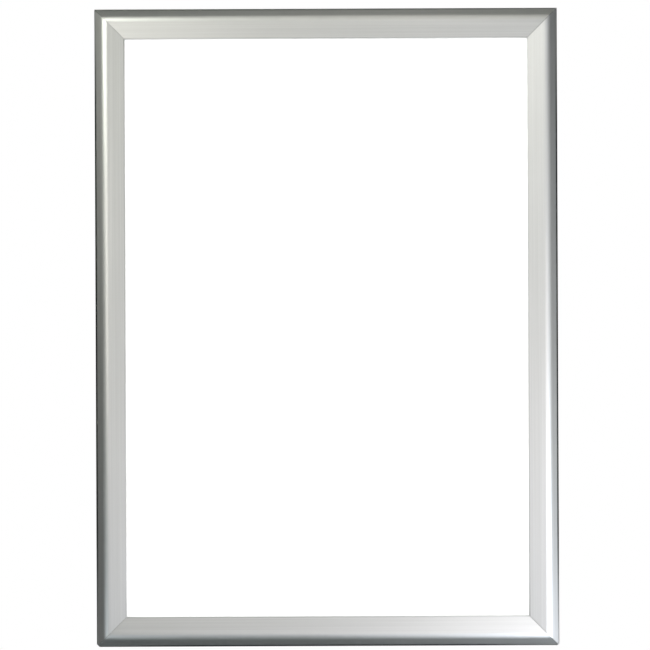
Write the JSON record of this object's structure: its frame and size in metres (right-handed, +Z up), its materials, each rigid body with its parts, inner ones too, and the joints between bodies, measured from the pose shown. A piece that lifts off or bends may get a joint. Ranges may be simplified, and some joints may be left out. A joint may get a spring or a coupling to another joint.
{
  "type": "snap poster frame",
  "caption": "Wall frame for an A2 poster: mitred aluminium rails with spring-loaded covers that hinge open on all sides to change the sheet.",
  "frame": {"origin": "on the flat back of the top rail, midway along it, on the line of its wall screws", "axes": "+Z up, +Y into the wall, so the front faces -Y and +X is to the viewer's right"},
  "size_m": [0.46, 0.0143, 0.634],
  "materials": {
    "silver_anodised": "satin silver anodised, with fine die lines along each profile",
    "mill_aluminium": "satin silver anodised extrusion, plain back",
    "spring_steel": "bright hardened strip",
    "zinc_plated_steel": "zinc plated",
    "white_polystyrene": "matt white sheet",
    "blank_paper": "uncoated white, blank",
    "clear_plastic": "clear, anti-glare"
  },
  "bodies": {
    "wall_frame": {"base_rail_top": "mill_aluminium", "base_rail_bottom": "mill_aluminium", "base_rail_left": "mill_aluminium", "base_rail_right": "mill_aluminium", "corner_bracket_top_right": "zinc_plated_steel", "corner_bracket_bottom_right": "zinc_plated_steel", "corner_bracket_bottom_left": "zinc_plated_steel", "corner_bracket_top_left": "zinc_plated_steel", "spring_clip_top_1": "spring_steel", "spring_clip_top_2": "spring_steel", "spring_clip_bottom_1": "spring_steel", "spring_clip_bottom_2": "spring_steel", "spring_clip_left_1": "spring_steel", "spring_clip_left_2": "spring_steel", "spring_clip_left_3": "spring_steel", "spring_clip_right_1": "spring_steel", "spring_clip_right_2": "spring_steel", "spring_clip_right_3": "spring_steel", "back_panel": "white_polystyrene", "poster_insert": "blank_paper", "clear_sheet": "clear_plastic"},
    "cover_top": {"snap_cover_top": "silver_anodised"},
    "cover_bottom": {"snap_cover_bottom": "silver_anodised"},
    "cover_left": {"snap_cover_left": "silver_anodised"},
    "cover_right": {"snap_cover_right": "silver_anodised"}
  },
  "joints": [
    {"name": "hinge_top", "type": "hinge", "parent": "wall_frame", "child": "cover_top", "pos_m": [0, -0.0032, 0.00927], "axis": [-1, 0, 0], "range_deg": [0, 90], "deforming": ["spring_clip_top_1", "spring_clip_top_2"]},
    {"name": "hinge_bottom", "type": "hinge", "parent": "wall_frame", "child": "cover_bottom", "pos_m": [0, -0.0032, -0.61953], "axis": [1, 0, 0], "range_deg": [0, 90], "deforming": ["spring_clip_bottom_1", "spring_clip_bottom_2"]},
    {"name": "hinge_left", "type": "hinge", "parent": "wall_frame", "child": "cover_left", "pos_m": [-0.2274, -0.0032, -0.30513], "axis": [0, 0, -1], "range_deg": [0, 90], "deforming": ["spring_clip_left_1", "spring_clip_left_2", "spring_clip_left_3"]},
    {"name": "hinge_right", "type": "hinge", "parent": "wall_frame", "child": "cover_right", "pos_m": [0.2274, -0.0032, -0.30513], "axis": [0, 0, 1], "range_deg": [0, 90], "deforming": ["spring_clip_right_1", "spring_clip_right_2", "spring_clip_right_3"]}
  ]
}
